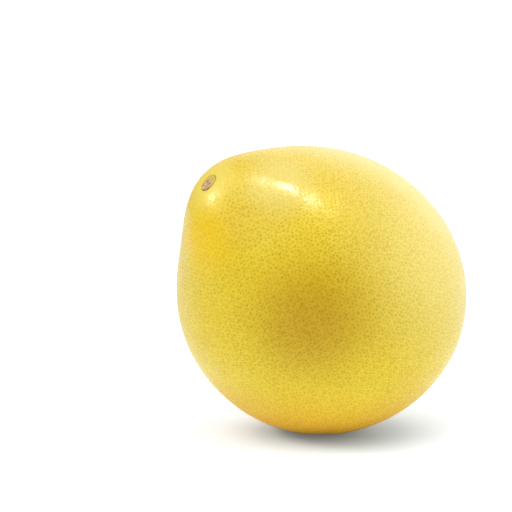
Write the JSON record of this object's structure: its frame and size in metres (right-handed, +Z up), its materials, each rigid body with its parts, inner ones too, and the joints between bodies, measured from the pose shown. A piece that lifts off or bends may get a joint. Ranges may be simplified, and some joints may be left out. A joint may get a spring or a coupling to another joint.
{
  "type": "pomelo",
  "caption": "Whole round yellow pomelo with a short blunt neck, lying tilted on a small flat spot, with a dried stem button in the socket at its raised end.",
  "frame": {"origin": "middle of the small flat spot that the fruit rests on, straight below its centre of mass", "axes": "+Z up; the stem end leans towards -X in the XZ plane, 47 degrees over from upright; +Y completes the right-handed frame"},
  "size_m": [0.149, 0.1498, 0.1491],
  "materials": {
    "rind": "waxy semi-gloss citrus rind, lemon to golden yellow, with fine oil gland dots",
    "dry_stem": "dry, matt, tan to dark brown"
  },
  "bodies": {
    "root": {"fruit": "rind", "stem_button": "dry_stem"}
  },
  "joints": []
}
